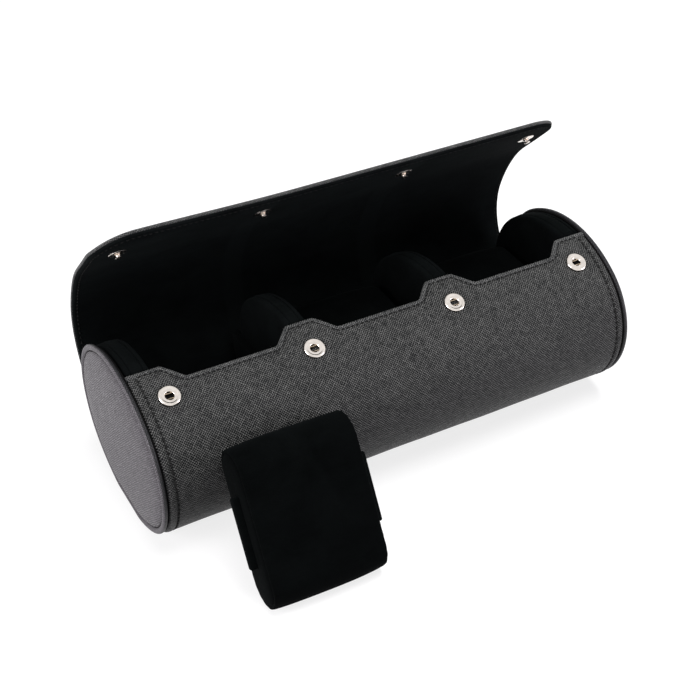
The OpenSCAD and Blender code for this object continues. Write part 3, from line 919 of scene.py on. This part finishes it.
# ---------- drums and dividers ----------
def core_outline(count):
    """Outline of the fittings in the tube, corners rounded, as even points (y, z)."""
    tube = oval(np.linspace(-8.46, -180, 400), -3.7)
    tube = np.concatenate([tube, oval(np.linspace(180, 110.5, 200), -3.7)])
    tube[:, 1] = np.maximum(tube[:, 1], 3.7)
    lid = oval(np.linspace(109.5, -6.72, 300), LID_GROW - 3.9, LID_Y, LID_Z)
    p = even(np.concatenate([tube, lid, tube[:1]]), 1201)[:-1]
    for _ in range(36):
        p = (np.roll(p, 1, 0) + 2 * p + np.roll(p, -1, 0)) / 4
    return even(np.concatenate([p, p[:1]]), count + 1)[:-1]


def inward(p):
    """Unit vectors across a closed outline, to its outer side."""
    t = unit(np.roll(p, -1, 0) - np.roll(p, 1, 0))
    n = np.stack([-t[:, 1], t[:, 0]], -1)
    area = 0.5 * np.sum(p[:, 0] * np.roll(p[:, 1], -1) - np.roll(p[:, 0], -1) * p[:, 1])
    return n if area > 0 else -n


def stuffed(p, x0, x1, seam=2.6, crown=0.3, soft=2.1):
    """Points and faces of a padded block between x0 and x1 with the outline p."""
    n = inward(p)
    prof = [(0.0, soft), (0.12, soft * 0.62), (0.4, soft * 0.33), (0.85, soft * 0.13), (1.5, 0.03),
            (seam - 0.35, 0.02), (seam, 0.34), (seam + 0.35, 0.0), (seam + 1.4, -crown * 0.6)]
    if x1 - x0 < 2 * (seam + 1.6):
        prof = prof[:5]
    mid = [((x1 - x0) / 2, -crown)]
    full = prof + mid + [(x1 - x0 - d, k) for d, k in prof[::-1]]
    rows = [at_x(x0 + d, p + n * k) for d, k in full]
    m = len(p)
    # the two faces: a few shrinking rings, slightly domed
    centre = p.mean(0)
    for at, sign in ((x0, -1), (x1, 1)):
        edge = p + n * soft
        rings = []
        for r, bulge in ((0.97, 0.12), (0.9, 0.3), (0.75, 0.5), (0.5, 0.62), (0.2, 0.66)):
            rings.append(at_x(at + sign * bulge, centre + (edge - centre) * r))
        rows = rings[::-1] + rows if sign < 0 else rows + rings
    v = np.array(rows)
    faces = quads(len(rows), m, wrap_n=True)
    v2 = np.concatenate([v.reshape(-1, 3), [[x0 - 0.66, *centre], [x1 + 0.66, *centre]]])
    a, b = len(v2) - 2, len(v2) - 1
    last = (len(rows) - 1) * m
    for k in range(m):
        faces.append((a, (k + 1) % m, k))
        faces.append((b, last + k, last + (k + 1) % m))
    return v2, faces


def fittings():
    """Drums and dividers, each a stuffed block over a lower one that carries the ledges."""
    outline = core_outline(220)
    low = outline[outline[:, 1] < LEDGE_Z - 0.2]
    # the ledges' outline: the part below ledge height, closed by a straight top
    turn_at = int(np.argmax(np.linalg.norm(np.diff(low, axis=0), axis=1))) + 1
    low = np.concatenate([low[turn_at:], low[:turn_at]])
    top = np.stack([np.linspace(low[-1, 0], low[0, 0], 40), np.full(40, LEDGE_Z)], -1)
    block = even(np.concatenate([low, top, low[:1]]), 161)[:-1]
    for _ in range(2):
        block = (np.roll(block, 1, 0) + 6 * block + np.roll(block, -1, 0)) / 8
    near, far = DIVIDER_X - DIVIDER_T / 2, DIVIDER_X + DIVIDER_T / 2
    blocks = (("drum_left", -DRUM_END, -BAY_END, 0, LEDGE_W), ("drum_right", BAY_END, DRUM_END, LEDGE_W, 0),
              ("divider_left", -far, -near, LEDGE_W, LEDGE_W), ("divider_right", near, far, LEDGE_W, LEDGE_W))
    for name, x0, x1, left, right in blocks:
        v, f = join_points([stuffed(outline, x0 + 0.5, x1 - 0.5),
                            stuffed(block, x0 - left + 0.2, x1 + right - 0.2, seam=9, crown=0.0, soft=0.8)])
        o = make("padded_" + name, v, f, material=SUEDE)
        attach(o, "case")
        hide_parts(name)


# ---------- cushions ----------
def pillow_mesh():
    """A stuffed roll: a band of suede round it, sewn to a panel at each end."""
    r = PILLOW_T / 2
    flat = PILLOW_L / 2 - r
    g = np.linspace(-math.pi / 2, math.pi / 2, 25)
    side = np.stack([flat + r * np.cos(g), r * np.sin(g)], -1)
    top = np.stack([np.linspace(flat, -flat, 26)[1:-1], np.full(24, r)], -1)
    p = np.concatenate([side, top, -side, -top])
    m = 150
    p = even(np.concatenate([p, p[:1]]), m + 1)[:-1]
    n = inward(p)
    half = PILLOW_W / 2 - 1.1
    around = np.arange(m) / m * 2 * math.pi
    # the filling swells the band between its seams, less on the side that the cushion rests on
    swell = 0.55 - 0.45 * np.clip(n[:, 1] * 1.4, -1, 1)
    prof = [(0.5, 1.45), (0.35, 0.95), (0.38, 0.5), (0.7, 0.14), (1.4, -0.06), (2.6, -0.2), (4.5, -0.4),
            (7.5, -0.68), (11.5, -0.95), (16, -1.15), (22, -1.3)]
    full = prof + [(half, -1.34)] + [(2 * half - d, k) for d, k in prof[::-1]]
    rows = []
    for d, k in full:
        from_seam = min(d, 2 * half - d)
        pucker = 0.16 * np.sin(around * 34 + d) * math.exp(-from_seam / 2.4)
        give = 0.12 * np.sin(around * 5 + d * 0.12)
        q = p + n * (np.where(k < 0, k * swell, k) + pucker + give * min(from_seam / 6, 1))[:, None]
        rows.append(at_x(d - half, q))
    # end panels: sunk at the seam, then swelling a little
    for sign in (-1, 1):
        edge = p + n * 1.45
        rings = []
        for t, bulge in ((0.985, 0.0), (0.96, 0.35), (0.92, 0.66), (0.85, 0.98), (0.72, 1.28), (0.5, 1.5),
                         (0.3, 1.56)):
            # the panel's rings shrink toward its long middle line
            spine = np.stack([np.clip(edge[:, 0], -flat, flat), np.zeros(m)], -1)
            q = spine + (edge - spine) * t
            pull = 0.1 * np.sin(around * 34 + sign) * math.exp(-(1 - t) / 0.06)
            rings.append(at_x(sign * (half - 0.75 + bulge + pull), q))
        rows = rings[::-1] + rows if sign < 0 else rows + rings
    v = np.array(rows)
    return v.reshape(-1, 3), quads(len(rows), m, wrap_n=True) + lids(len(rows), m)


def place_cushion(p, where):
    """Points of a cushion in the bay numbered where, from the middle one, or leaned on the tube in front."""
    if where == "front":
        r = PILLOW_T / 2
        reach = PILLOW_L / 2 - r
        c, s = math.cos(math.radians(FRONT_LEAN)), math.sin(math.radians(FRONT_LEAN))
        top_z = r + 2 * reach * c
        top_y = -END_C - math.sqrt((END_R + r + 0.4) ** 2 - (top_z - MID_Z) ** 2)
        p = turn(p, (0, 0), 90 - FRONT_LEAN) + [FRONT_X, top_y - reach * s, top_z - reach * c]
        # it rests flat on the table
        p[:, 2] = np.maximum(p[:, 2], 0.05)
        return p
    return p + np.array([where * BAY_PITCH, PILLOW_Y, PILLOW_Z])


def rounded_board():
    """The stiff suede board: a box with rounded edges and a slight crown."""
    hx, hy, hz = BOARD_W / 2, BOARD_L / 2, BOARD_T / 2
    r = 0.8
    prof = [(0.0, hz - r), (0.06, hz - 0.45), (0.24, hz - 0.2), (0.5, hz - 0.06), (0.8, hz), (1.6, hz + 0.02)]
    g = np.linspace(0, math.pi / 2, 6)
    corner = np.stack([r * np.cos(g), r * np.sin(g)], -1)
    quarter = np.concatenate([[(hx, 0)], corner + [hx - r, hy - r], [(0, hy)]])
    loop = np.concatenate([quarter, quarter[::-1][1:] * [-1, 1], -quarter[1:], quarter[::-1][1:-1] * [1, -1]])
    m = len(loop)
    rows = []
    for sign in (-1, 1):
        part = []
        for d, z in prof:
            scale = np.array([(hx - d) / hx, (hy - d) / hy])
            part.append(np.concatenate([loop * scale, np.full((m, 1), sign * z)], 1))
        rows += part if sign > 0 else part[::-1]
    v = np.array(rows)
    v = v.reshape(-1, 3)
    v[:, 2] += BOARD_UP
    return v, quads(len(rows), m, wrap_n=True) + lids(len(rows), m)


def cushions():
    """The three cushions, each with its board."""
    pillow, pf = pillow_mesh()
    board, bf = rounded_board()
    for tag, where, body in (("front", "front", "cushion_front"), ("mid", 0, "cushion_mid"),
                             ("right", 1, "cushion_right")):
        o = make(f"cushion_{tag}", place_cushion(pillow, where), pf, material=CUSHION)
        b = make(f"wing_board_{tag}", place_cushion(board, where), bf, material=BOARD)
        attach(o, body)
        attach(b, body)
        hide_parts(f"{tag}_pillow")
        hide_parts(f"{tag}_board")


# ---------- camera, lights, floor ----------
def background_rays(tree):
    """1 for the camera's rays and for those that metal or glass sends on to the background, else 0."""
    path = tree.nodes.new("ShaderNodeLightPath")
    seen = path.outputs["Is Camera Ray"]
    for kind in ("Is Glossy Ray", "Is Transmission Ray"):
        either = tree.nodes.new("ShaderNodeMath")
        either.operation = "MAXIMUM"
        tree.links.new(seen, either.inputs[0])
        tree.links.new(path.outputs[kind], either.inputs[1])
        seen = either.outputs[0]
    return seen


# the camera's place, solved from the photo's tube, tabs and snaps: metres, millimetres and degrees
CAMERA_AT, CAMERA_LENS, CAMERA_AZ, CAMERA_EL = (-0.25633, -0.45810, 0.44522), 70.85, -28.72, 37.35


def look(name, data, at, way):
    """An object at a place that faces along way."""
    o = bpy.data.objects.new(name, data)
    o.location = at
    o.rotation_mode = "QUATERNION"
    o.rotation_quaternion = way.to_track_quat("-Z", "Y")
    bpy.context.scene.collection.objects.link(o)
    return o


def lamp(name, at, aim, size, power, color=(1, 1, 1), mirrored=True):
    """A soft lamp aimed at a point; one that isn't mirrored is hidden from reflections."""
    data = bpy.data.lights.new(name, "AREA")
    data.shape, data.size, data.size_y = "RECTANGLE", size[0], size[1]
    data.energy, data.color = power, color
    look(name, data, at, Vector(aim) - Vector(at)).visible_glossy = mirrored


def studio():
    """Camera, lamps, world and floor."""
    scene = bpy.context.scene
    cam_data = bpy.data.cameras.new("camera")
    cam_data.lens, cam_data.sensor_width, cam_data.sensor_fit = CAMERA_LENS, 36.0, "HORIZONTAL"
    cam_data.clip_start, cam_data.clip_end = 0.02, 20.0
    az, el = math.radians(CAMERA_AZ), math.radians(CAMERA_EL)
    back = Vector((math.sin(az) * math.cos(el), -math.cos(az) * math.cos(el), math.sin(el)))
    scene.camera = look("camera", cam_data, CAMERA_AT, -back)

    lamp("top_light", (0.15, -0.1, 1.15), (0.0, -0.02, 0.05), (1.1, 0.55), 24.0, mirrored=False)
    lamp("left_light", (-1.15, -0.1, 0.45), (-0.1, 0, 0.04), (0.7, 0.7), 18.0, (1.0, 0.97, 1.0))
    lamp("right_light", (0.95, -0.75, 0.2), (0.12, 0, 0.03), (0.5, 0.5), 9.0, (1.0, 0.95, 1.03))

    world = bpy.data.worlds.new("studio")
    scene.world = world
    world.use_nodes = True
    tree = world.node_tree
    tree.nodes.clear()
    out = tree.nodes.new("ShaderNodeOutputWorld")
    mix = tree.nodes.new("ShaderNodeMixShader")
    tree.links.new(background_rays(tree), mix.inputs[0])
    # first the light on the case, then the white that is seen behind it
    for k, (color, strength) in enumerate((((0.95, 0.96, 1.0, 1), 0.15), ((1, 1, 1, 1), 0.96))):
        node = tree.nodes.new("ShaderNodeBackground")
        node.inputs[0].default_value, node.inputs[1].default_value = color, strength
        tree.links.new(node.outputs[0], mix.inputs[1 + k])
    tree.links.new(mix.outputs[0], out.inputs[0])
    scene.view_settings.view_transform = "Standard"

    v = [(-3, -3, 0), (3, -3, 0), (3, 3, 0), (-3, 3, 0)]
    mesh = bpy.data.meshes.new("floor")
    mesh.from_pydata(v, [], [(0, 1, 2, 3)])
    floor = bpy.data.objects.new("floor", mesh)
    floor.location.z = -0.0002
    scene.collection.objects.link(floor)
    # seen by the camera the paper is nearly white and its shadow faint; it throws little light back up
    m = Nodes("floor_paper")
    m.set(Base_Color=(0.3, 0.3, 0.32, 1), Roughness=0.95, Specular_IOR_Level=0.0)
    paper = m.add("BsdfDiffuse", {"Color": (0.24, 0.24, 0.24, 1)})
    glow = m.add("Emission", {"Color": (1, 1, 1, 1), "Strength": 0.78})
    both = m.add("AddShader", {0: paper, 1: glow})
    mixed = m.add("MixShader", {0: background_rays(m.tree), 1: m.shader, 2: both})
    m.put(m.tree.nodes["Material Output"].inputs[0], mixed)
    mesh.materials.append(m.mat)


body_leather()
tube_lining()
flap()
snap_pieces()
end_piece(-1)
end_piece(1)
fittings()
cushions()
studio()
